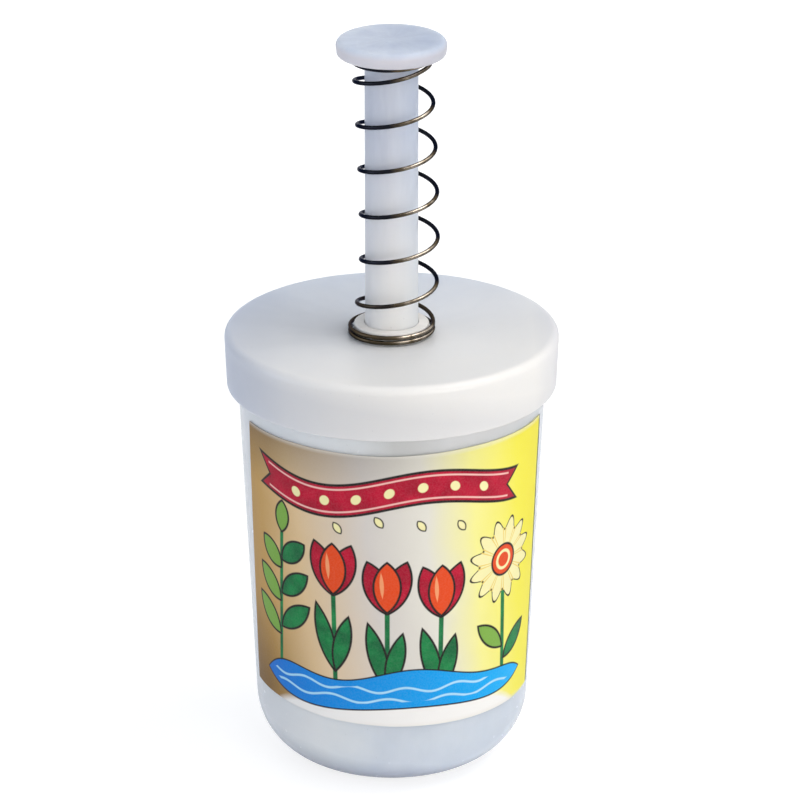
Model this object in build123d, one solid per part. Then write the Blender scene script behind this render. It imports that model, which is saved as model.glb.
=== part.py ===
from build123d import *

import os
from math import cos, radians, sin, tan

# Hand seed sower: seed lies in a drafted cup under a push-on lid. A sprung plunger runs down the axis.
# Pressing its knob carries one pocket of seed through the outlet bore and into the soil.
# Millimetres, Z up the axis, origin in the middle of the base, label facing -Y.

# Seed cup
CUP_HEIGHT = 95.95
CUP_MOUTH_RADIUS = 33.29
CUP_DRAFT = 2.67
CUP_WALL = 1.6
CUP_FLOOR = 1.8
FOOT_FLAT = 2.4
PUNT_RADIUS = 12.5
PUNT_DEPTH = 2.8
RIM_BEAD_PROUD = 0.35
RIM_BEAD_HEIGHT = 1.8

# Push-on lid
LID_HEIGHT = 12.15
LID_PLATE = 1.6
LID_DISH = 1.1
LID_SEAT_RADIUS = 14.2
LID_SEAT_ROUND = 12.0
LID_SKIRT_WALL = 1.9
LID_TAPER = 0.5
LID_SHOULDER_ROUND = 1.6
LID_HEM_ROUND = 0.4
LID_FIT = 0.15
HOLD_BEAD_PROUD = 0.1
HOLD_BEAD_HEIGHT = 1.2
PLUG_WALL = 1.0
PLUG_DEPTH = 3.0
PLUG_FIT = 0.2

# Guide bush, which comes up through the lid as the boss inside the spring's foot
BOSS_RADIUS = 8.0
BOSS_HEIGHT = 2.45
BOSS_ROUND = 0.4
BUSH_FLANGE_RADIUS = 11.0
BUSH_FLANGE = 1.6
BUSH_SLEEVE = 6.0
BUSH_SEAT_FIT = 0.05
GUIDE_FIT = 0.15

# Return spring
WIRE_DIAMETER = 0.9
COIL_RADIUS = 8.15
SPRING_LENGTH = 61.95
ACTIVE_TURNS = 6.05
FOOT_TURNS = 1.5
CAP_TURNS = 1.0
FOOT_ANGLE = -18.0
COIL_GAP = 0.2
COIL_FIT = 0.4
SPRING_SEAT_GAP = 0.02
POINTS_PER_TURN = 12
WIRE_SIDES = 8

# Plunger
TRAVEL = 30.0
STOP_GAP = 0.1
TUBE_RADIUS = 5.65
TUBE_WALL = 1.6
SPIGOT_FIT = 0.05
KNOB_RADIUS = 11.8
KNOB_THICKNESS = 3.3
KNOB_TAPER = 0.35
KNOB_ROUND = 1.3
KNOB_COLLAR = 1.2
KNOB_SPIGOT = 12.0
RING_RADIUS = 8.6
RING_THICKNESS = 1.6
RING_GROOVE = 0.8
RING_FIT = 0.05
RING_MOUTH_ANGLE = 70.0

# Metering stem
METER_RADIUS = 4.0
STEM_SPIGOT = 16.0
STEM_COLLAR = 2.4
POCKET_RADIUS = 2.8
POCKET_DEPTH = 2.2
POCKET_LIFT = 0.4
TIP_LENGTH = 3.4
TIP_RADIUS = 1.0
TIP_RECESS = 1.0

# Outlet funnel and its nut
OUTLET_FIT = 0.15
NECK_WALL = 1.9
NECK_FIT = 0.05
NECK_RECESS = 0.6
HUB_RADIUS = 8.4
THROAT_RISE = 3.6
FUNNEL_SLOPE = 30.0
FUNNEL_WALL = 1.4
FUNNEL_FIT = 0.3
NUT_FLATS = 17.0
NUT_THICKNESS = 2.0
NUT_ROUND = 0.3

# Label, an adhesive sheet on the outside of the cup
LABEL_BOTTOM = 17.8
LABEL_TOP = 81.4
LABEL_LEFT_ANGLE = 71.0
LABEL_RIGHT_ANGLE = 75.0
LABEL_THICKNESS = 0.15
LABEL_GLUE = 0.15

# Places that follow from the sizes above
draft_slope = tan(radians(CUP_DRAFT))
funnel_slope = tan(radians(FUNNEL_SLOPE))
floor_top = PUNT_DEPTH + CUP_FLOOR
lid_top = CUP_HEIGHT + LID_PLATE
seat_top = lid_top - LID_DISH
seat_bottom = seat_top - LID_PLATE
skirt_bottom = lid_top - LID_HEIGHT
sleeve_bottom = seat_bottom - BUSH_FLANGE - BUSH_SLEEVE
knob_underside = seat_top + SPRING_LENGTH
tube_top = knob_underside - KNOB_COLLAR
tube_bore = TUBE_RADIUS - TUBE_WALL
spigot_radius = tube_bore - SPIGOT_FIT
outlet_bore = METER_RADIUS + OUTLET_FIT
neck_radius = outlet_bore + NECK_WALL
throat_height = floor_top + THROAT_RISE
collar_tip = throat_height + TRAVEL + STOP_GAP
collar_edge = collar_tip + (TUBE_RADIUS - METER_RADIUS) * funnel_slope
tube_bottom = collar_edge + STEM_COLLAR
ring_top = sleeve_bottom - STOP_GAP


def cup_radius(height):
    """Outer radius of the drafted cup wall at a height above the base."""
    return CUP_MOUTH_RADIUS - (CUP_HEIGHT - height) * draft_slope


def bore_radius(height):
    """Inner radius of the drafted cup wall at a height above the base."""
    return cup_radius(height) - CUP_WALL


def turned(*corners):
    """Solid of revolution about Z from (radius, height, rounding) corners of its section."""
    points = [(radius, height) for radius, height, rounding in corners]
    rounds = [rounding for radius, height, rounding in corners]
    section = make_face(FilletPolyline(*points, radius=rounds, close=True))
    return revolve(Plane.XZ * section, Axis.Z)


def make_seed_cup():
    """Open cup with a punted base, a rounded foot and a bead round its rim."""
    hole = neck_radius + NECK_FIT
    bead_start = CUP_HEIGHT - RIM_BEAD_HEIGHT
    foot_corner = radians(90 + CUP_DRAFT)
    outer_round = (cup_radius(0) - PUNT_RADIUS - FOOT_FLAT) * tan(foot_corner / 2)
    inner_round = outer_round - CUP_WALL
    return turned(
        (hole, PUNT_DEPTH, 0),
        (PUNT_RADIUS, PUNT_DEPTH, CUP_FLOOR / 2),
        (PUNT_RADIUS, 0, 0),
        (cup_radius(0), 0, outer_round),
        (cup_radius(bead_start), bead_start, 0),
        (CUP_MOUTH_RADIUS + RIM_BEAD_PROUD, CUP_HEIGHT - RIM_BEAD_HEIGHT / 2, RIM_BEAD_HEIGHT / 2),
        (CUP_MOUTH_RADIUS, CUP_HEIGHT, 0),
        (bore_radius(CUP_HEIGHT), CUP_HEIGHT, 0),
        (bore_radius(CUP_FLOOR), CUP_FLOOR, inner_round),
        (PUNT_RADIUS + CUP_FLOOR, CUP_FLOOR, 0),
        (PUNT_RADIUS + CUP_FLOOR, floor_top, CUP_FLOOR / 2),
        (hole, floor_top, 0),
    )


def make_front_label():
    """Thin sheet that follows the cup wall for part of the way round."""
    back = [cup_radius(height) + LABEL_GLUE for height in (LABEL_BOTTOM, LABEL_TOP)]
    outline = Polyline(
        (back[0], LABEL_BOTTOM),
        (back[0] + LABEL_THICKNESS, LABEL_BOTTOM),
        (back[1] + LABEL_THICKNESS, LABEL_TOP),
        (back[1], LABEL_TOP),
        close=True,
    )
    sheet = revolve(Plane.XZ * make_face(outline), Axis.Z, LABEL_LEFT_ANGLE + LABEL_RIGHT_ANGLE)
    return Rot(0, 0, -90 - LABEL_LEFT_ANGLE) * sheet


def make_snap_lid():
    """Lid dished to the spring's flat seat, with a long skirt over the rim and a plug ring inside the mouth."""
    skirt_bore = CUP_MOUTH_RADIUS + RIM_BEAD_PROUD + LID_FIT
    skirt_radius = skirt_bore + LID_SKIRT_WALL
    plug_radius = bore_radius(CUP_HEIGHT - PLUG_DEPTH) - PLUG_FIT
    bead_top = CUP_HEIGHT - RIM_BEAD_HEIGHT
    hole = BOSS_RADIUS + BUSH_SEAT_FIT
    return turned(
        (hole, seat_bottom, 0),
        (LID_SEAT_RADIUS, seat_bottom, 0),
        (plug_radius - PLUG_WALL, CUP_HEIGHT, 0),
        (plug_radius - PLUG_WALL, CUP_HEIGHT - PLUG_DEPTH, 0),
        (plug_radius, CUP_HEIGHT - PLUG_DEPTH, PLUG_WALL / 2),
        (plug_radius, CUP_HEIGHT, 0),
        (skirt_bore, CUP_HEIGHT, 0),
        (skirt_bore, bead_top, 0),
        (skirt_bore - HOLD_BEAD_PROUD, bead_top - HOLD_BEAD_HEIGHT / 2, 0),
        (skirt_bore, bead_top - HOLD_BEAD_HEIGHT, 0),
        (skirt_bore, skirt_bottom, LID_HEM_ROUND),
        (skirt_radius - LID_TAPER, skirt_bottom, LID_HEM_ROUND),
        (skirt_radius, lid_top, LID_SHOULDER_ROUND),
        (LID_SEAT_RADIUS, seat_top, LID_SEAT_ROUND),
        (hole, seat_top, 0),
    )


def make_guide_bush():
    """Flanged bush held under the lid, whose neck stands up through it as a flat boss for the spring."""
    bore = TUBE_RADIUS + GUIDE_FIT
    flange_bottom = seat_bottom - BUSH_FLANGE
    neck_top = seat_top + BOSS_HEIGHT
    return turned(
        (bore, sleeve_bottom, 0),
        (BOSS_RADIUS, sleeve_bottom, BOSS_ROUND),
        (BOSS_RADIUS, flange_bottom, 0),
        (BUSH_FLANGE_RADIUS, flange_bottom, BOSS_ROUND),
        (BUSH_FLANGE_RADIUS, seat_bottom, 0),
        (BOSS_RADIUS, seat_bottom, 0),
        (BOSS_RADIUS, neck_top, BOSS_ROUND),
        (bore, neck_top, 0),
    )


def make_return_spring():
    """Round-wire compression spring: closed foot coils round the boss, open turns, one closed coil on top."""
    closed_pitch = WIRE_DIAMETER + COIL_GAP
    foot_radius = BOSS_RADIUS + COIL_FIT + WIRE_DIAMETER / 2
    low = seat_top + SPRING_SEAT_GAP + WIRE_DIAMETER / 2
    high = knob_underside - SPRING_SEAT_GAP - WIRE_DIAMETER / 2
    foot_end = low + FOOT_TURNS * closed_pitch
    cap_start = high - CAP_TURNS * closed_pitch
    open_pitch = (cap_start - foot_end) / ACTIVE_TURNS
    turns = FOOT_TURNS + ACTIVE_TURNS + CAP_TURNS
    steps = round(turns * POINTS_PER_TURN)

    def centre(turn):
        """Point of the wire's centre line after a number of turns from the foot."""
        climbed = min(max(turn - FOOT_TURNS, 0), ACTIVE_TURNS)
        height = low + (turn - climbed) * closed_pitch + climbed * open_pitch
        radius = COIL_RADIUS + (foot_radius - COIL_RADIUS) * max(0, 1 - climbed)
        angle = radians(FOOT_ANGLE + (turn - FOOT_TURNS) * 360)
        return Vector(radius * cos(angle), radius * sin(angle), height)

    line = Spline(*[centre(turns * step / steps) for step in range(steps + 1)])
    section = Plane(line @ 0, z_dir=line % 0) * RegularPolygon(WIRE_DIAMETER / 2, WIRE_SIDES)
    return sweep(section, path=line, is_frenet=True)


def make_plunger_tube():
    """Plain tube with a groove for the stop ring."""
    groove_top = ring_top + RING_FIT
    groove_bottom = ring_top - RING_THICKNESS - RING_FIT
    groove_radius = TUBE_RADIUS - RING_GROOVE
    return turned(
        (tube_bore, tube_bottom, 0),
        (TUBE_RADIUS, tube_bottom, 0),
        (TUBE_RADIUS, groove_bottom, 0),
        (groove_radius, groove_bottom, 0),
        (groove_radius, groove_top, 0),
        (TUBE_RADIUS, groove_top, 0),
        (TUBE_RADIUS, tube_top, 0),
        (tube_bore, tube_top, 0),
    )


def make_push_knob():
    """Thumb disc with a collar that centres the spring and a spigot that plugs the tube."""
    collar_radius = COIL_RADIUS - WIRE_DIAMETER / 2 - COIL_FIT
    top = knob_underside + KNOB_THICKNESS
    return turned(
        (0, tube_top - KNOB_SPIGOT, 0),
        (spigot_radius, tube_top - KNOB_SPIGOT, SPIGOT_FIT),
        (spigot_radius, tube_top, 0),
        (TUBE_RADIUS, tube_top, 0),
        (collar_radius, knob_underside, 0),
        (KNOB_RADIUS - KNOB_TAPER, knob_underside, KNOB_ROUND / 2),
        (KNOB_RADIUS, top, KNOB_ROUND),
        (0, top, 0),
    )


def make_stop_ring():
    """Snap ring in the tube's groove: it meets the bush and sets the plunger's upper stop."""
    ring_bore = TUBE_RADIUS - RING_GROOVE + RING_FIT
    ring_bottom = ring_top - RING_THICKNESS
    band = turned(
        (ring_bore, ring_bottom, 0),
        (RING_RADIUS, ring_bottom, 0),
        (RING_RADIUS, ring_top, 0),
        (ring_bore, ring_top, 0),
    )
    reach = 2 * RING_RADIUS
    side = reach * tan(radians(RING_MOUTH_ANGLE / 2))
    mouth = Plane.XY.offset(ring_bottom) * make_face(Polyline((0, 0), (side, reach), (-side, reach), close=True))
    return band - extrude(mouth, RING_THICKNESS)


def make_metering_stem():
    """Stem with a scooped seed pocket, a coned stop collar and a pointed dibber tip."""
    scoop_out = METER_RADIUS + POCKET_RADIUS - POCKET_DEPTH
    scoop_up = throat_height + POCKET_LIFT + POCKET_RADIUS
    pocket = Pos(0, -scoop_out, scoop_up) * Rot(90, 0, 0) * Sphere(POCKET_RADIUS)
    stem = turned(
        (0, TIP_RECESS, 0),
        (TIP_RADIUS, TIP_RECESS, 0),
        (METER_RADIUS, TIP_RECESS + TIP_LENGTH, 0),
        (METER_RADIUS, collar_tip, 0),
        (TUBE_RADIUS, collar_edge, 0),
        (TUBE_RADIUS, tube_bottom, 0),
        (spigot_radius, tube_bottom, 0),
        (spigot_radius, tube_bottom + STEM_SPIGOT, 0),
        (0, tube_bottom + STEM_SPIGOT, 0),
    )
    return stem - pocket


def make_outlet_funnel():
    """Coned hopper floor whose neck passes through the base and wipes the metering stem."""
    wall_at_throat = bore_radius(throat_height - outlet_bore * funnel_slope) - FUNNEL_FIT
    rim_radius = wall_at_throat / (1 - draft_slope * funnel_slope)
    rim_height = throat_height + (rim_radius - outlet_bore) * funnel_slope
    drop = FUNNEL_WALL / cos(radians(FUNNEL_SLOPE))
    hub_height = throat_height + (HUB_RADIUS - outlet_bore) * funnel_slope - drop
    return turned(
        (outlet_bore, NECK_RECESS, 0),
        (neck_radius, NECK_RECESS, 0),
        (neck_radius, floor_top, 0),
        (HUB_RADIUS, floor_top, 0),
        (HUB_RADIUS, hub_height, 0),
        (rim_radius, rim_height - drop, 0),
        (rim_radius, rim_height, 0),
        (outlet_bore, throat_height, 0),
    )


def make_outlet_nut():
    """Thin six-sided nut in the base recess that clamps the funnel's neck."""
    bottom = PUNT_DEPTH - NUT_THICKNESS
    blank = extrude(Plane.XY.offset(bottom) * RegularPolygon(NUT_FLATS / 2, 6, major_radius=False), NUT_THICKNESS)
    blank = chamfer(blank.edges().group_by(Axis.Z)[0], NUT_ROUND)
    return blank - Pos(0, 0, PUNT_DEPTH) * Cylinder(neck_radius + NECK_FIT, 2 * NUT_THICKNESS)


pieces = {
    "seed_cup": make_seed_cup(),
    "front_label": make_front_label(),
    "outlet_funnel": make_outlet_funnel(),
    "outlet_nut": make_outlet_nut(),
    "snap_lid": make_snap_lid(),
    "guide_bush": make_guide_bush(),
    "return_spring": make_return_spring(),
    "plunger_tube": make_plunger_tube(),
    "push_knob": make_push_knob(),
    "stop_ring": make_stop_ring(),
    "metering_stem": make_metering_stem(),
}

os.makedirs("parts", exist_ok=True)
for name, piece in pieces.items():
    export_step(piece, f"parts/{name}.step")
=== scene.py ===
from collections import namedtuple
from math import cos, pi, radians, sin

import bpy
import numpy as np
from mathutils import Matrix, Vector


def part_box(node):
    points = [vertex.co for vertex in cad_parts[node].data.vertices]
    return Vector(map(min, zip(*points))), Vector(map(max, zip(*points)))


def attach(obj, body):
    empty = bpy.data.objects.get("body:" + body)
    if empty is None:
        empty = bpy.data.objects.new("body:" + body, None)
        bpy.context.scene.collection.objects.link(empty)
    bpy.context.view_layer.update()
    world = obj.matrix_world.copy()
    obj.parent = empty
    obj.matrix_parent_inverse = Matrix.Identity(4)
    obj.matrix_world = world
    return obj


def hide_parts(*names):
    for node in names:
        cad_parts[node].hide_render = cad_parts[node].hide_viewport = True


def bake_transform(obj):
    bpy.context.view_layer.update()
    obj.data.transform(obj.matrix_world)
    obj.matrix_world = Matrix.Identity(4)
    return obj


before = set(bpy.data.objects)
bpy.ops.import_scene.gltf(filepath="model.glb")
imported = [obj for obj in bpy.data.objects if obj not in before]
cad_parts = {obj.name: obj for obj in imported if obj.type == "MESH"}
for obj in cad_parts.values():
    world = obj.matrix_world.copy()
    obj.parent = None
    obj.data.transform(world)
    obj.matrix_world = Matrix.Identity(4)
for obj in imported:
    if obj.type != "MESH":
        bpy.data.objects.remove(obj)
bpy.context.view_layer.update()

MM = 0.001

# Sizes in millimetres that the dressed pieces share with the solids
WIRE_RADIUS = 0.45
COIL_RADIUS = 8.15
FOOT_RADIUS = 8.85
CLOSED_PITCH = 1.1
CUP_HEIGHT = 95.95
CUP_MOUTH_RADIUS = 33.29
CUP_SLOPE = 0.04663

# Spring: its turns, the direction in degrees where they open, and their lean in millimetres
FOOT_TURNS = 1.56
ACTIVE_TURNS = 5.89
CAP_TURNS = 1.35
FOOT_ANGLE = 4.0
OPENING_TURNS = 0.16
NARROWING_TURNS = 1.0
LEAN_AT = np.linspace(0, 1, 41)
LEAN_RIGHT = 1.65 * np.sin(pi * LEAN_AT ** 0.62) ** 0.8
LEAN_BACK = -0.8 * np.sin(2 * pi * LEAN_AT ** 0.8)
STEPS_PER_TURN = 40
WIRE_SIDES = 14
TIP_SHARE = 0.8

# Label: edges in degrees right of the front, with their slant, and sizes in millimetres
LEFT_EDGE, LEFT_SLANT = -73.0, 6.5
RIGHT_EDGE, RIGHT_SLANT = 75.9, -2.6
FOOT_EDGE = (
    (-73, 20.0), (-55, 19.5), (-28, 18.4), (0, 17.8), (30, 17.6), (58, 17.7), (76, 18.3),
)
HEAD_EDGE = ((-66, 81.3), (-36, 81.4), (-2, 81.1), (30, 81.6), (73, 81.4))
FACE_PROUD = 0.27
BACK_PROUD = 0.08
PAPER_RIPPLE = 0.015
SHARP_EDGE = 40
PRINT_ROUND = 32.0
PRINT_FOOT = 17.8
PRINT_UNIT = 100

# Camera that matches the photograph: place in metres, angles in radians, lens in millimetres
EYE = (0.0, -0.97434, 0.46822)
PITCH = 0.378416
YAW = 0.00183
LENS = 220.41
SENSOR = 36

# Floor, and the least distance from the axis that a material divides by, in metres
FLOOR_REACH = 3.0
FLOOR_LEVEL = -0.0001
NEAR_AXIS = 0.0001

# Painted light or shade over part of a plastic: the way it blends, its colour, a direction, and the
# places along that direction, in metres, where it is full and where it is gone
Tint = namedtuple("Tint", "way colour toward full gone")


class Field:
    """A number at every point of a material. Arithmetic on it adds Math nodes."""

    def __init__(self, graph, socket):
        self.graph = graph
        self.socket = socket

    def math(self, operation, *others, clamp=False):
        node = self.graph.node("ShaderNodeMath", operation=operation, use_clamp=clamp)
        for slot, value in zip(node.inputs, (self, *others)):
            self.graph.feed(slot, value)
        return Field(self.graph, node.outputs[0])

    def __add__(self, other):
        return self.math("ADD", other)

    def __sub__(self, other):
        return self.math("SUBTRACT", other)

    def __mul__(self, other):
        return self.math("MULTIPLY", other)

    def __abs__(self):
        return self.math("ABSOLUTE")

    def min(self, other):
        return self.math("MINIMUM", other)

    def max(self, other):
        return self.math("MAXIMUM", other)

    def wave(self, rate, shift, height):
        """Sine of this field, as a height."""
        return self.math("MULTIPLY_ADD", rate, shift).math("SINE") * height

    def between(self, low, high):
        """0 at low and 1 at high, held outside them."""
        return self.math("MULTIPLY_ADD", 1 / (high - low), -low / (high - low), clamp=True)


class Graph:
    """One node material. Its methods add nodes and give back what they put out."""

    def __init__(self, name):
        self.material = bpy.data.materials.new(name)
        self.material.use_nodes = True
        self.tree = self.material.node_tree
        self.shader = self.tree.nodes["Principled BSDF"]

    def node(self, kind, **settings):
        return add_node(self.tree, kind, **settings)

    def feed(self, slot, value):
        """Links a field or a socket to a slot, or sets the slot to a plain value."""
        value = getattr(value, "socket", value)
        if isinstance(value, bpy.types.NodeSocket):
            self.tree.links.new(value, slot)
        elif slot.type == "RGBA":
            slot.default_value = (*value, 1.0)
        else:
            slot.default_value = value

    def set(self, **values):
        """Sets the shader's sockets, named with underscores for spaces."""
        for key, value in values.items():
            self.feed(self.shader.inputs[key.replace("_", " ")], value)

    def place(self, stretch=(1, 1, 1)):
        """Object coordinates in metres, stretched along the axes."""
        spot = self.node("ShaderNodeTexCoord")
        mapping = self.node("ShaderNodeMapping")
        self.feed(mapping.inputs["Vector"], spot.outputs["Object"])
        mapping.inputs["Scale"].default_value = stretch
        return mapping.outputs[0]

    def parts(self, vector):
        """The three numbers of a vector."""
        split = self.node("ShaderNodeSeparateXYZ")
        self.feed(split.inputs[0], vector)
        return [Field(self, outlet) for outlet in split.outputs]

    def noise(self, scale, detail=3.0, roughness=0.5, stretch=(1, 1, 1), spot=None):
        """Cloudy field about 0.5, at a place of its own or at object coordinates."""
        node = self.node("ShaderNodeTexNoise")
        self.feed(node.inputs["Vector"], spot or self.place(stretch))
        node.inputs["Scale"].default_value = scale
        node.inputs["Detail"].default_value = detail
        node.inputs["Roughness"].default_value = roughness
        return Field(self, node.outputs["Fac"])

    def ramp(self, field, *stops):
        """Colour along a field, from (place, colour) stops."""
        node = self.node("ShaderNodeValToRGB")
        self.feed(node.inputs["Fac"], field)
        line = node.color_ramp.elements
        while len(line) < len(stops):
            line.new(1.0)
        for stop, (spot, colour) in zip(line, stops):
            stop.position = spot
            stop.color = (*colour, 1.0)
        return node.outputs["Color"]

    def mix(self, share, first, second, way="MIX"):
        """Two colours blended by a share of the second."""
        node = self.node("ShaderNodeMix", data_type="RGBA", blend_type=way)
        self.feed(node.inputs[0], share)
        self.feed(node.inputs[6], first)
        self.feed(node.inputs[7], second)
        return node.outputs[2]

    def bump(self, height, distance, strength=1.0, under=None):
        """Surface relief from a field, in metres, over any relief under it."""
        node = self.node("ShaderNodeBump")
        node.inputs["Strength"].default_value = strength
        node.inputs["Distance"].default_value = distance
        self.feed(node.inputs["Height"], height)
        if under is not None:
            self.feed(node.inputs["Normal"], under)
        return node.outputs["Normal"]


def add_node(tree, kind, **settings):
    """New node in a tree, with its settings."""
    node = tree.nodes.new(kind)
    for key, value in settings.items():
        setattr(node, key, value)
    return node


def far(x, y):
    """Distance from the origin of two coordinates."""
    return x.math("MULTIPLY_ADD", x, y * y).math("SQRT")


def times(share, colour):
    """A colour made lighter or darker."""
    return tuple(share * c for c in colour)


def moulded(name, colour, shade, roughness, milk, depth, stretch=(1, 1, 1), painted_shading=()):
    """Moulded plastic with a milky depth in metres: cloudy body colour with pearly patches, flow
    lines away from the axis, scuffs, specks of dust, fine grain, and painted light and shade over
    parts of it."""
    g = Graph(name)
    x, y, z = g.parts(g.place())
    out = far(x, y).max(NEAR_AXIS)
    rings = out * 12

    def spokes(rest):
        """Coordinates by direction from the axis, with one more."""
        spot = g.node("ShaderNodeCombineXYZ")
        for slot, value in zip(spot.inputs, (x.math("DIVIDE", out), y.math("DIVIDE", out), rest)):
            g.feed(slot, value)
        return spot.outputs[0]

    flow = g.noise(9.0, 3, 0.55, spot=spokes(rings))
    pearl = g.noise(3.2, 2, 0.5, spot=spokes(rings + z * 25))
    cloud = g.noise(55, 4, 0.55, stretch)
    streak = g.noise(420, 4, 0.6, (stretch[0], stretch[1], stretch[2] * 0.12))
    scuff = g.noise(900, 2, 0.7, (1.0, 0.16, 0.5)).between(0.66, 0.74)
    speck = g.noise(1700, 1, 0.5).between(0.76, 0.80)
    grain = g.noise(3200, 2, 0.5)

    body = g.ramp(cloud, (0.3, shade), (0.7, colour))
    body = g.mix(streak.between(0.35, 0.75) * 0.35, body, shade)
    body = g.mix(pearl.between(0.42, 0.62) * 0.3, body, (0.84, 0.85, 0.87), "MULTIPLY")
    # Painted light and shade over parts of the body colour
    for shading_patch in painted_shading:
        reach = x * shading_patch.toward[0] + y * shading_patch.toward[1] + z * shading_patch.toward[2]
        reach = reach + (cloud - 0.5) * (0.25 * (shading_patch.full - shading_patch.gone))
        body = g.mix(reach.between(shading_patch.gone, shading_patch.full), body, shading_patch.colour, shading_patch.way)
    body = g.mix(speck * 0.2, body, times(0.6, shade))
    g.set(Base_Color=body, Roughness=(cloud * 0.12 + scuff * 0.10) + (roughness - 0.06))
    g.set(Subsurface_Weight=milk, Subsurface_Scale=depth, Subsurface_Radius=(1.0, 0.95, 0.9))
    g.set(IOR=1.5)

    relief = g.bump(grain, 0.00002, 0.5)
    relief = g.bump(flow, 0.00004, 0.6, relief)
    relief = g.bump(streak, 0.00006, 0.3, relief)
    g.set(Normal=g.bump(scuff, 0.00002, 0.25, relief))
    return g.material


def drawn_steel(name, dark, painted_glint_colour, roughness):
    """Drawn wire: dark finish with die lines along it and fine pits, lighter and browner on its
    foot coils, and a painted highlight of bright steel on its front right crest."""
    g = Graph(name)
    along = g.node("ShaderNodeUVMap", uv_map="Along")
    lines = g.node("ShaderNodeMapping")
    g.feed(lines.inputs["Vector"], along.outputs[0])
    lines.inputs["Scale"].default_value = (120.0, 40.0, 1.0)
    around = g.parts(along.outputs[0])[1]
    crest = around.math("MULTIPLY_ADD", 2 * pi, -1.8 * pi).math("COSINE")
    x, y, z = g.parts(g.place())
    front_right = (x * 0.64 - y * 0.77).math("DIVIDE", far(x, y).max(NEAR_AXIS))
    low = z.between(0.107, 0.102)

    draw = g.noise(3.0, 4, 0.6, spot=lines.outputs[0])
    stain = g.noise(140, 3, 0.5)
    pit = g.noise(2600, 2, 0.6).between(0.62, 0.72)
    # Painted highlight on the front right crest of each turn, wider on the foot coils
    wear_and_painted_glint = (front_right.between(0.74, 1.0) + low * 0.3) * crest.between(-0.2, 0.9)
    wear_and_painted_glint = wear_and_painted_glint * (g.noise(330, 3, 0.6).between(0.25, 0.6) * 0.7 + draw * 0.6)

    bronze = tuple(0.2 * b * t for b, t in zip(painted_glint_colour, (1.0, 0.86, 0.6)))
    body = g.ramp(stain, (0.35, dark), (0.75, times(1.5, dark)))
    body = g.mix(low * (stain * 0.8 + 0.4) * 0.7, body, times(0.5, bronze))
    body = g.mix(wear_and_painted_glint.between(0.0, 0.35), body, bronze)
    body = g.mix(wear_and_painted_glint.between(0.45, 1.0), body, painted_glint_colour)
    body = g.mix(pit * 0.6, body, times(0.4, dark))
    g.set(Base_Color=body, Roughness=(draw * 0.16 + pit * 0.2) + (roughness - 0.08))
    g.set(Metallic=1.0, Specular_Tint=(0.42, 0.43, 0.48))
    g.set(Normal=g.bump(pit, 0.00002, 0.5, g.bump(draw, 0.00003, 0.4)))
    return g.material


class Artwork:
    """Flat printed shapes laid over each other, in millimetres across (u) and up (v) the label."""

    def __init__(self, graph, ground):
        self.g = graph
        self.colour = ground

    def lay(self, colour, outline, soft=0.1):
        """Prints a colour where an outline distance is below zero."""
        self.colour = self.g.mix(outline.between(soft, -soft), self.colour, colour)

    def inked(self, colour, outline, line=0.5, ink=(0.012, 0.010, 0.010)):
        """Prints a shape with a dark contour line."""
        self.lay(ink, outline)
        self.lay(colour, outline + line)


def turned(u, v, x, y, degrees):
    """Coordinates across and along a direction from (x, y), at degrees left of straight up."""
    c, s = cos(radians(degrees)), sin(radians(degrees))
    across = u.math("MULTIPLY_ADD", c, v.math("MULTIPLY_ADD", s, -x * c - y * s))
    along = v.math("MULTIPLY_ADD", c, u.math("MULTIPLY_ADD", -s, x * s - y * c))
    return across, along


def leaf(u, v, x, y, degrees, length, width):
    """Outline distance of a pointed leaf that grows from (x, y)."""
    across, along = turned(u, v, x, y, degrees)
    reach = (length * length + width * width) / (4 * width)
    return far(abs(across) + (reach - width / 2), along - length / 2) - reach


def stalk(u, v, x, y, degrees, length, width):
    """Outline distance of a straight stalk that grows from (x, y)."""
    across, along = turned(u, v, x, y, degrees)
    return (abs(across) - width / 2).max(abs(along - length / 2) - length / 2)


def repeated(u, shift, step):
    """Number of the step that a place is in, and the distance from the middle of that step."""
    cell = ((u + shift) * (1 / step)).math("FLOOR")
    return cell, u + shift - (cell * step + step / 2)


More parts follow.
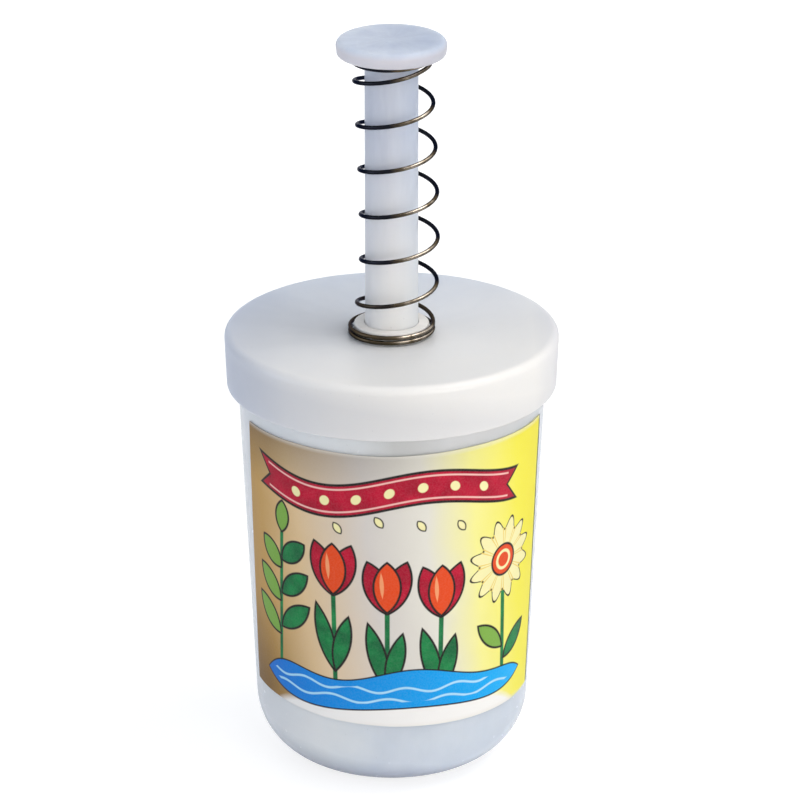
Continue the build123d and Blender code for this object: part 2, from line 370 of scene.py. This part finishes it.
def label_paper():
    """Varnished foil paper label with a plain garden print: ribbon, leaf sprig, tulips and daisy
    beside a pond."""
    g = Graph("label_paper")
    sheet = g.node("ShaderNodeUVMap", uv_map="Print")
    u, v = (part * PRINT_UNIT for part in g.parts(sheet.outputs[0])[:2])
    blot = g.noise(70, 3, 0.5)
    ground = g.ramp(
        (u + v * 0.12).math("MULTIPLY_ADD", 1 / 86, 0.45, clamp=True) + (blot - 0.5) * 0.06,
        (0.0, (0.47, 0.25, 0.05)),
        (0.12, (0.62, 0.37, 0.11)),
        (0.26, (0.78, 0.57, 0.32)),
        (0.46, (0.70, 0.66, 0.62)),
        (0.60, (0.80, 0.78, 0.70)),
        (0.73, (0.93, 0.89, 0.31)),
        (0.88, (0.92, 0.85, 0.08)),
        (1.0, (0.90, 0.80, 0.01)),
    )
    # Painted shadow of the lid over the top left of the print, and painted shade at its lower left
    painted_lid_shadow = v.between(50, 63) * u.between(24, -30)
    painted_low_left_shade = v.between(26, 4) * u.between(-14, -34)
    ground = g.mix(painted_lid_shadow.max(painted_low_left_shade), ground, (0.46, 0.44, 0.42), "MULTIPLY")
    art = Artwork(g, ground)
    green = g.ramp(g.noise(260, 2), (0.35, (0.006, 0.14, 0.045)), (0.65, (0.012, 0.25, 0.07)))
    crimson = g.ramp(g.noise(240, 2), (0.35, (0.38, 0.003, 0.026)), (0.65, (0.54, 0.006, 0.038)))
    blue = g.ramp(u.between(-36, 36), (0.0, (0.005, 0.17, 0.68)), (1.0, (0.004, 0.47, 0.98)))
    bright = (0.22, 0.44, 0.07)
    orange = (0.80, 0.075, 0.012)
    cream = (0.94, 0.88, 0.46)
    pale = (0.93, 0.92, 0.90)

    # Leaf sprig on the left
    root, foot, tilt = -28.5, 9.0, -4
    art.lay(green, stalk(u, v, root, foot, tilt, 36, 1.0))
    for side in (-1, 1):
        for height, reach in ((18, 11.5), (26, 10.5), (34, 9)):
            node = root + 0.07 * (height - foot)
            outline = leaf(u, v, node, height + side, tilt - side * 48, reach, 5.0)
            art.inked(green if side > 0 else bright, outline)
    art.inked(bright, leaf(u, v, -26.2, 41.5, tilt, 8, 4.4))

    # Row of tulips in the middle
    cell, x = repeated(u, 19.0, 12)
    y = v - cell.wave(2.4, 0.9, 3.6)
    row = abs(u + 1.0) - 17.9
    art.lay(green, stalk(x, y, 0, 4, 0, 26, 1.1).max(row))
    for lean, reach in ((15, 17), (-14, 14.5)):
        art.inked(green, leaf(x, y, 0, 9, lean, reach, 4.4).max(row))
    left, right = (leaf(x, y, 0, 27, lean, 13.5, 6.0) for lean in (19, -19))
    art.inked(crimson, left.min(right).max(row))
    art.inked(orange, leaf(x, y, 0, 27.3, 0, 12.4, 6.4).max(row))
    art.lay((0.93, 0.36, 0.16), leaf(x, y, -1.0, 31, 3, 6, 0.9).max(row))

    # Daisy on the right
    art.lay(green, stalk(u, v, 28.5, 7.0, 3, 27, 1.2))
    art.inked(green, leaf(u, v, 28.4, 11.0, -48, 11, 4.4))
    art.inked(bright, leaf(u, v, 28.2, 14.0, 48, 11, 4.4))
    across, along = turned(u, v, 27.2, 35.0, 8)
    spread = far(across, along)
    petal = along.math("ARCTAN2", across).wave(12.0, 0.0, 1.3)
    art.inked(cream, spread - (petal + 8.6))
    art.lay((0.86, 0.66, 0.16), abs(petal + 1.0) - 0.2 + (spread - 7.4).max(0.0) * 3)
    art.inked(orange, spread - 3.8)
    art.lay(cream, abs(spread - 2.0) - 0.35)

    # Pond along the foot, with a pale shore under it
    bend = (u - 1.0) * (1 / 36)
    bend = (bend * bend).math("POWER", 3.0)
    swell = u.wave(0.11, 0.9, 0.8)
    pond = (v - (u.wave(0.17, 0.7, 1.6) + 12.0 - bend * 7)).max(swell + bend * 5 + 3.4 - v)
    art.lay(pale, v - (swell + 5.2 - bend * 9), 0.9)
    art.inked(blue, pond, 0.35)
    for level, rate, shift in ((8.6, 0.52, 0.0), (6.0, 0.47, 1.9)):
        ripple = abs(v - (u.wave(rate, shift, 0.6) + level)) - 0.27
        art.lay((0.42, 0.74, 0.96), ripple.max(pond + 1.7))

    # Ribbon with forked ends and a row of beads, and loose seed under it
    middle = u.wave(0.13, 0.5, 2.0) + 54.0
    ribbon = abs(v - middle)
    sideways = abs(u + 1.0)
    art.inked(crimson, (ribbon - 3.9).max(sideways - (ribbon * 0.9 + 28.5)), 0.6)
    art.lay((0.93, 0.55, 0.50), (abs(ribbon - 2.6) - 0.2).max(sideways - 28.5))
    bead = repeated(u, 60, 7.0)[1]
    art.lay(cream, (far(bead, v - middle) - 1.1).max(sideways - 25.0))
    cell, loose = repeated(u, 61, 9)
    seed = leaf(loose, v - cell.wave(2.1, 1.0, 1.2), 0.7, 45.8, 35, 3.2, 1.9)
    art.inked(cream, seed.max(abs(u + 0.5) - 18.0), 0.3)

    # Dark line along the right edge, a painted shadow of the sheet's edge
    art.lay((0.10, 0.13, 0.03), (u + v * 0.0228) * -1.0 + 41.6)

    # Paper, ink and varnish
    ink = g.noise(2600, 3, 0.7)
    fibre = g.noise(1500, 4, 0.6)
    wear_and_painted_glint = g.noise(38, 5, 0.6).between(0.52, 0.78)
    colour = g.mix(ink.between(0.35, 0.85) * 0.05, art.colour, pale)
    edge = abs(v - 31.8) - 31.2
    colour = g.mix(edge.between(-0.4, 0.4) * 0.4, colour, (0.85, 0.83, 0.78))
    g.set(Base_Color=colour, Roughness=(wear_and_painted_glint * 0.14 + ink * 0.08) + 0.36)
    g.set(Metallic=0.1, IOR=1.45, Specular_IOR_Level=0.1, Coat_Weight=0.03, Coat_Roughness=0.2)
    g.set(Normal=g.bump(wear_and_painted_glint, 0.00008, 0.3, g.bump(fibre, 0.00002, 0.5)))
    return g.material


def mesh_object(name, points, faces, material):
    """New smooth object from points in millimetres."""
    mesh = bpy.data.meshes.new(name)
    mesh.from_pydata([tuple(p) for p in np.asarray(points) * MM], [], faces)
    mesh.polygons.foreach_set("use_smooth", [True] * len(mesh.polygons))
    mesh.materials.append(material)
    made = bpy.data.objects.new(name, mesh)
    bpy.context.scene.collection.objects.link(made)
    return made


def spread_map(made, name, places):
    """Texture map with one place for each vertex."""
    layer = made.data.uv_layers.new(name=name)
    order = np.zeros(len(made.data.loops), np.int32)
    made.data.loops.foreach_get("vertex_index", order)
    layer.data.foreach_set("uv", np.asarray(places, np.float32)[order].ravel())


def make_spring(material):
    """Round wire: closed foot coils round the boss, open turns that lean a little, and a closed
    coil under the knob."""
    low, high = (corner.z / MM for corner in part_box("return_spring"))
    turns = FOOT_TURNS + ACTIVE_TURNS + CAP_TURNS
    steps, sides = int(turns * STEPS_PER_TURN), WIRE_SIDES
    turn = np.linspace(0, turns, steps + 1)
    from_foot = turn - FOOT_TURNS
    to_cap = turn - FOOT_TURNS - ACTIVE_TURNS

    def ease(x):
        """Smooth step from 0 to 1."""
        x = np.clip(x, 0, 1)
        return x * x * (3 - 2 * x)

    # Centre line
    opened = ease(from_foot / OPENING_TURNS + 0.5) - ease(to_cap / OPENING_TURNS + 0.5)
    open_step = (opened[1:] + opened[:-1]) / 2
    closed_rise = np.concatenate([[0], np.cumsum(1 - open_step)]) * turns / steps * CLOSED_PITCH
    open_share = np.concatenate([[0], np.cumsum(open_step)])
    start, end = low + WIRE_RADIUS, high - WIRE_RADIUS
    height = start + closed_rise + open_share / open_share[-1] * (end - start - closed_rise[-1])
    angle = np.radians(FOOT_ANGLE + from_foot * 360)
    radius = COIL_RADIUS + (FOOT_RADIUS - COIL_RADIUS) * (1 - ease(from_foot / NARROWING_TURNS))
    share = np.clip(from_foot / ACTIVE_TURNS, 0, 1)
    centre = np.stack([radius * np.cos(angle), radius * np.sin(angle), height], 1)
    centre[:, 0] += np.interp(share, LEAN_AT, LEAN_RIGHT)
    centre[:, 1] += np.interp(share, LEAN_AT, LEAN_BACK)

    # Round section along it
    ahead = np.gradient(centre, axis=0)
    ahead /= np.linalg.norm(ahead, axis=1)[:, None]
    out = np.stack([np.cos(angle), np.sin(angle), 0 * angle], 1)
    out -= (out * ahead).sum(1)[:, None] * ahead
    out /= np.linalg.norm(out, axis=1)[:, None]
    up = np.cross(ahead, out)
    size = np.full(steps + 1, WIRE_RADIUS)
    size[[0, -1]] *= TIP_SHARE
    around = np.arange(sides) * 2 * pi / sides
    across = np.cos(around)[None, :, None] * out[:, None]
    section = across + np.sin(around)[None, :, None] * up[:, None]
    points = (centre[:, None] + size[:, None, None] * section).reshape(-1, 3)
    faces = [list(range(sides))[::-1], [steps * sides + k for k in range(sides)]]
    for i in range(steps):
        for k in range(sides):
            a, b = i * sides + k, i * sides + (k + 1) % sides
            faces.append([a, b, b + sides, a + sides])
    made = mesh_object("return_spring_wire", points, faces, material)
    length = np.concatenate([[0], np.cumsum(np.linalg.norm(np.diff(centre, axis=0), axis=1))])
    places = [np.repeat(length * MM, sides), np.tile(around / (2 * pi), steps + 1)]
    spread_map(made, "Along", np.stack(places, 1))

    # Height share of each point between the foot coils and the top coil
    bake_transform(made)
    first, last = np.interp([FOOT_TURNS, FOOT_TURNS + ACTIVE_TURNS], turn, height)
    weight = np.repeat(np.clip((height - first) / (last - first), 0, 1), sides)
    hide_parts("return_spring")


def make_label(material):
    """Printed sheet on the cup's wall, laid on slightly askew by hand."""
    columns, rows = 120, 40
    s, t = np.meshgrid(np.linspace(0, 1, columns + 1), np.linspace(0, 1, rows + 1))
    degrees = (1 - s) * (LEFT_EDGE + LEFT_SLANT * t) + s * (RIGHT_EDGE + RIGHT_SLANT * t)
    foot = np.interp(degrees, *zip(*FOOT_EDGE))
    head = np.interp(degrees, *zip(*HEAD_EDGE))
    height = foot + (head - foot) * t
    angle = np.radians(degrees - 90)
    wall = CUP_MOUTH_RADIUS - (CUP_HEIGHT - height) * CUP_SLOPE
    ripple = np.sin(degrees * 0.21 + height * 0.13) * np.sin(height * 0.29)
    layers = []
    for proud in (FACE_PROUD, BACK_PROUD):
        radius = wall + PAPER_RIPPLE * ripple + proud
        layer = np.stack([radius * np.cos(angle), radius * np.sin(angle), height], 2)
        layers.append(layer.reshape(-1, 3))

    # Face and back, and a rim round them
    across = columns + 1
    count = across * (rows + 1)
    faces = []
    for j in range(rows):
        for i in range(columns):
            a = j * across + i
            quad = [a, a + 1, a + across + 1, a + across]
            faces.append(quad)
            faces.append([count + k for k in reversed(quad)])
    border = list(range(across))
    border += [j * across + columns for j in range(1, rows + 1)]
    border += [rows * across + i for i in range(columns - 1, -1, -1)]
    border += [j * across for j in range(rows - 1, 0, -1)]
    for a, b in zip(border, border[1:] + border[:1]):
        faces.append([b, a, count + a, count + b])
    made = mesh_object("front_label_sheet", np.concatenate(layers), faces, material)
    made.data.set_sharp_from_angle(angle=radians(SHARP_EDGE))
    place = np.stack([np.radians(degrees) * PRINT_ROUND, height - PRINT_FOOT], 2)
    place = place.reshape(-1, 2) / PRINT_UNIT
    spread_map(made, "Print", np.concatenate([place, place]))
    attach(made, "cup")
    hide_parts("front_label")


def make_floor():
    """White floor that keeps the object's soft shadow. Camera and transmitted rays see it as a
    white backdrop, which it is altogether away from the object, and reflections nearly so."""
    mesh = bpy.data.meshes.new("floor")
    corners = ((-1, -1), (1, -1), (1, 1), (-1, 1))
    points = [(FLOOR_REACH * x, FLOOR_REACH * y, FLOOR_LEVEL) for x, y in corners]
    mesh.from_pydata(points, [], [(0, 1, 2, 3)])
    floor = bpy.data.objects.new("floor", mesh)
    bpy.context.scene.collection.objects.link(floor)
    g = Graph("floor_white")
    path = g.node("ShaderNodeLightPath")
    through = Field(g, path.outputs["Is Transmission Ray"])
    seen = Field(g, path.outputs["Is Camera Ray"]).max(through)
    glossy = Field(g, path.outputs["Is Glossy Ray"])
    matt = g.node("ShaderNodeBsdfDiffuse")
    glow = g.node("ShaderNodeEmission")
    both = g.node("ShaderNodeAddShader")
    g.feed(matt.inputs["Color"], g.mix(seen, (0.88, 0.88, 0.89), (0.40, 0.40, 0.40)))
    x, y = g.parts(g.place())[:2]
    apart = far(x, y).between(0.2, 0.6)
    g.feed(glow.inputs["Strength"], seen * (apart * 0.21 + 0.79) + glossy * 0.3)
    g.feed(both.inputs[0], matt.outputs[0])
    g.feed(both.inputs[1], glow.outputs[0])
    g.feed(g.tree.nodes["Material Output"].inputs["Surface"], both.outputs[0])
    mesh.materials.append(g.material)


def make_world():
    """Even room light, cooler from behind on the left. Camera rays, reflections and transmitted
    rays see a white room."""
    world = bpy.data.worlds.new("room")
    bpy.context.scene.world = world
    world.use_nodes = True
    tree = world.node_tree
    around = add_node(tree, "ShaderNodeTexCoord")
    side = add_node(tree, "ShaderNodeVectorMath", operation="DOT_PRODUCT")
    side.inputs[1].default_value = (0.55, -0.8, -0.1)
    spread = add_node(tree, "ShaderNodeMapRange")
    spread.inputs["From Min"].default_value = -1.0
    tones = add_node(tree, "ShaderNodeMix", data_type="RGBA")
    tones.inputs[6].default_value = (0.80, 0.90, 1.06, 1)
    tones.inputs[7].default_value = (1.04, 1.0, 0.96, 1)
    light = tree.nodes["Background"]
    light.inputs["Strength"].default_value = 0.36
    white = add_node(tree, "ShaderNodeBackground")
    white.inputs["Color"].default_value = (1, 1, 1, 1)
    white.inputs["Strength"].default_value = 1.0
    path = add_node(tree, "ShaderNodeLightPath")
    either = add_node(tree, "ShaderNodeMath", operation="MAXIMUM")
    any_way = add_node(tree, "ShaderNodeMath", operation="MAXIMUM")
    pick = add_node(tree, "ShaderNodeMixShader")
    for outlet, inlet in (
        (around.outputs["Generated"], side.inputs[0]),
        (side.outputs["Value"], spread.inputs["Value"]),
        (spread.outputs[0], tones.inputs[0]),
        (tones.outputs[2], light.inputs["Color"]),
        (path.outputs["Is Camera Ray"], either.inputs[0]),
        (path.outputs["Is Glossy Ray"], either.inputs[1]),
        (either.outputs[0], any_way.inputs[0]),
        (path.outputs["Is Transmission Ray"], any_way.inputs[1]),
        (any_way.outputs[0], pick.inputs[0]),
        (light.outputs[0], pick.inputs[1]),
        (white.outputs[0], pick.inputs[2]),
        (pick.outputs[0], tree.nodes["World Output"].inputs["Surface"]),
    ):
        tree.links.new(outlet, inlet)


def make_lamp(name, turn, rise, away, size, power, colour, glints=True):
    """Soft square lamp that faces the middle of the object, at degrees right of the front and up,
    and metres away."""
    data = bpy.data.lights.new(name, "AREA")
    data.size = size
    data.energy = power
    data.color = colour
    lamp = bpy.data.objects.new(name, data)
    bpy.context.scene.collection.objects.link(lamp)
    lamp.visible_glossy = glints
    turn, rise = radians(turn), radians(rise)
    way = Vector((sin(turn) * cos(rise), -cos(turn) * cos(rise), sin(rise)))
    lamp.location = way * away + Vector((0, 0, 0.09))
    lamp.rotation_euler = (-way).to_track_quat("-Z", "Y").to_euler()


def make_camera():
    """Camera at the photograph's place and angle."""
    data = bpy.data.cameras.new("camera")
    data.lens = LENS
    data.sensor_width = SENSOR
    data.clip_start = 0.05
    data.clip_end = 50
    camera = bpy.data.objects.new("camera", data)
    camera.location = EYE
    camera.rotation_euler = (pi / 2 - PITCH, 0, -YAW)
    bpy.context.scene.collection.objects.link(camera)
    bpy.context.scene.camera = camera


# Painted light and shade on the cup
# Painted shade: greyer wall at the front just under the lid
painted_shade_under_lid = Tint("MIX", (0.78, 0.785, 0.79), toward=(0, -0.30, 0.95), full=0.0870, gone=0.0765)
# Painted shadow of the lid's skirt on the front band
painted_skirt_shadow = Tint("MULTIPLY", (0.84, 0.84, 0.82), toward=(0, -1, 0), full=0.0326, gone=0.0305)
# Painted light: a paler, bluer glow on the left of the foot
painted_left_glow = Tint("MIX", (0.90, 0.96, 1.0), toward=(-0.85, -0.53, 0), full=0.027, gone=0.017)
# Painted shade: darker lower right of the cup
painted_lower_right_shade = Tint(
    "MULTIPLY", (0.86, 0.88, 0.92), toward=(0.75, 0, -0.66), full=0.012, gone=-0.003,
)
# Painted contact shade: darker towards the bottom edge, most on the left
painted_contact_shade = Tint(
    "MULTIPLY", (0.34, 0.35, 0.41), toward=(-0.14, 0, -0.99), full=0.001, gone=-0.008,
)

# Painted light and shade on the lid
# Painted light: warmer, lighter front right of the lid
painted_warm_light = Tint("MIX", (0.91, 0.895, 0.87), toward=(0.45, -0.89, 0), full=0.024, gone=-0.030)
# Painted shade: greyer towards the bottom of the skirt
painted_skirt_shade = Tint(
    "MULTIPLY", (0.86, 0.87, 0.90), toward=(-0.15, -0.10, -0.98), full=-0.0855, gone=-0.0910,
)
# Painted shade: darker, bluer left side of the lid
painted_left_shade = Tint("MULTIPLY", (0.88, 0.90, 0.95), toward=(-1, 0, 0), full=0.034, gone=0.022)
# Painted shade: darker right edge of the skirt
painted_right_edge_shade = Tint("MULTIPLY", (0.86, 0.87, 0.92), toward=(1, 0, 0), full=0.0350, gone=0.0300)

# Painted light and shade on the plunger and its knob
# Painted light: warmer, whiter tube low down, as bounce light from the lid
painted_lid_bounce = Tint("MIX", (0.97, 0.95, 0.92), toward=(0, 0, 1), full=0.098, gone=0.142)
# Painted shade: darker, bluer right side of the tube
painted_tube_right_shade = Tint("MULTIPLY", (0.84, 0.89, 0.95), toward=(1, 0, 0), full=0.0052, gone=0.0)
# Painted light: the knob's side warmer and less blue than its top
painted_warm_rim = Tint("MIX", (0.605, 0.595, 0.665), toward=(0, 0, 1), full=0.1604, gone=0.1615)
shaded_right = Tint("MULTIPLY", (0.74, 0.77, 0.80), toward=(1, 0, 0), full=0.011, gone=-0.003)

# Materials on the solids that are shown as they are
cup_plastic = moulded(
    "cup_plastic", colour=(0.74, 0.81, 0.935), shade=(0.69, 0.77, 0.895),
    roughness=0.2, milk=0.7, depth=0.005, stretch=(2.4, 2.4, 2.4),
    painted_shading=(painted_shade_under_lid, painted_skirt_shadow, painted_left_glow, painted_lower_right_shade, painted_contact_shade),
)
lid_plastic = moulded(
    "lid_plastic", colour=(0.70, 0.76, 0.87), shade=(0.66, 0.72, 0.84),
    roughness=0.38, milk=0.5, depth=0.004,
    painted_shading=(painted_warm_light, painted_skirt_shade, painted_left_shade, painted_right_edge_shade),
)
plunger_plastic = moulded(
    "plunger_plastic", colour=(0.66, 0.70, 0.80), shade=(0.62, 0.66, 0.77),
    roughness=0.36, milk=0.6, depth=0.003, stretch=(1, 1, 0.4), painted_shading=(painted_lid_bounce, painted_tube_right_shade),
)
knob_plastic = moulded(
    "knob_plastic", colour=(0.66, 0.73, 0.88), shade=(0.50, 0.57, 0.74),
    roughness=0.5, milk=1.0, depth=0.012, stretch=(3, 3, 3), painted_shading=(painted_warm_rim, shaded_right),
)
bush_plastic = moulded(
    "bush_plastic", colour=(0.94, 0.91, 0.87), shade=(0.89, 0.86, 0.82),
    roughness=0.36, milk=0.3, depth=0.002,
)
inner_plastic = moulded(
    "inner_plastic", colour=(0.84, 0.86, 0.88), shade=(0.79, 0.81, 0.84),
    roughness=0.4, milk=0.3, depth=0.002,
)
stem_plastic = moulded(
    "stem_plastic", colour=(0.83, 0.83, 0.83), shade=(0.77, 0.77, 0.78),
    roughness=0.36, milk=0.25, depth=0.002, stretch=(1, 1, 0.4),
)
spring_steel = drawn_steel(
    "spring_steel", dark=(0.010, 0.011, 0.015), painted_glint_colour=(0.50, 0.44, 0.37), roughness=0.22,
)
ring_steel = drawn_steel(
    "ring_steel", dark=(0.30, 0.30, 0.31), painted_glint_colour=(0.45, 0.44, 0.42), roughness=0.28,
)
finishes = {
    "seed_cup": cup_plastic,
    "snap_lid": lid_plastic,
    "guide_bush": bush_plastic,
    "plunger_tube": plunger_plastic,
    "push_knob": knob_plastic,
    "outlet_funnel": inner_plastic,
    "outlet_nut": inner_plastic,
    "metering_stem": stem_plastic,
    "stop_ring": ring_steel,
}
for name, finish in finishes.items():
    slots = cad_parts[name].data.materials
    slots.clear()
    slots.append(finish)

# Dressed pieces that replace their solids
make_spring(spring_steel)
make_label(label_paper())

# Stage, light and camera
make_floor()
make_world()
warm_white = (1.0, 0.98, 0.95)
make_lamp("key", turn=82, rise=60, away=0.62, size=0.42, power=1.95, colour=(1.0, 0.98, 0.94))
make_lamp("front", turn=28, rise=9, away=0.6, size=0.36, power=1.25, colour=(1.0, 0.97, 0.93))
make_lamp("left", turn=-82, rise=10, away=0.8, size=0.45, power=1.34, colour=(0.76, 0.85, 1.0))
make_lamp("back", turn=190, rise=8, away=0.8, size=0.36, power=1.0, colour=warm_white, glints=False)
make_lamp("front_glint", turn=26, rise=45, away=1.0, size=0.07, power=0.25, colour=warm_white)
make_lamp("side_glint", turn=74, rise=50, away=1.0, size=0.07, power=0.25, colour=warm_white)
make_camera()
bpy.context.scene.view_settings.view_transform = "Standard"
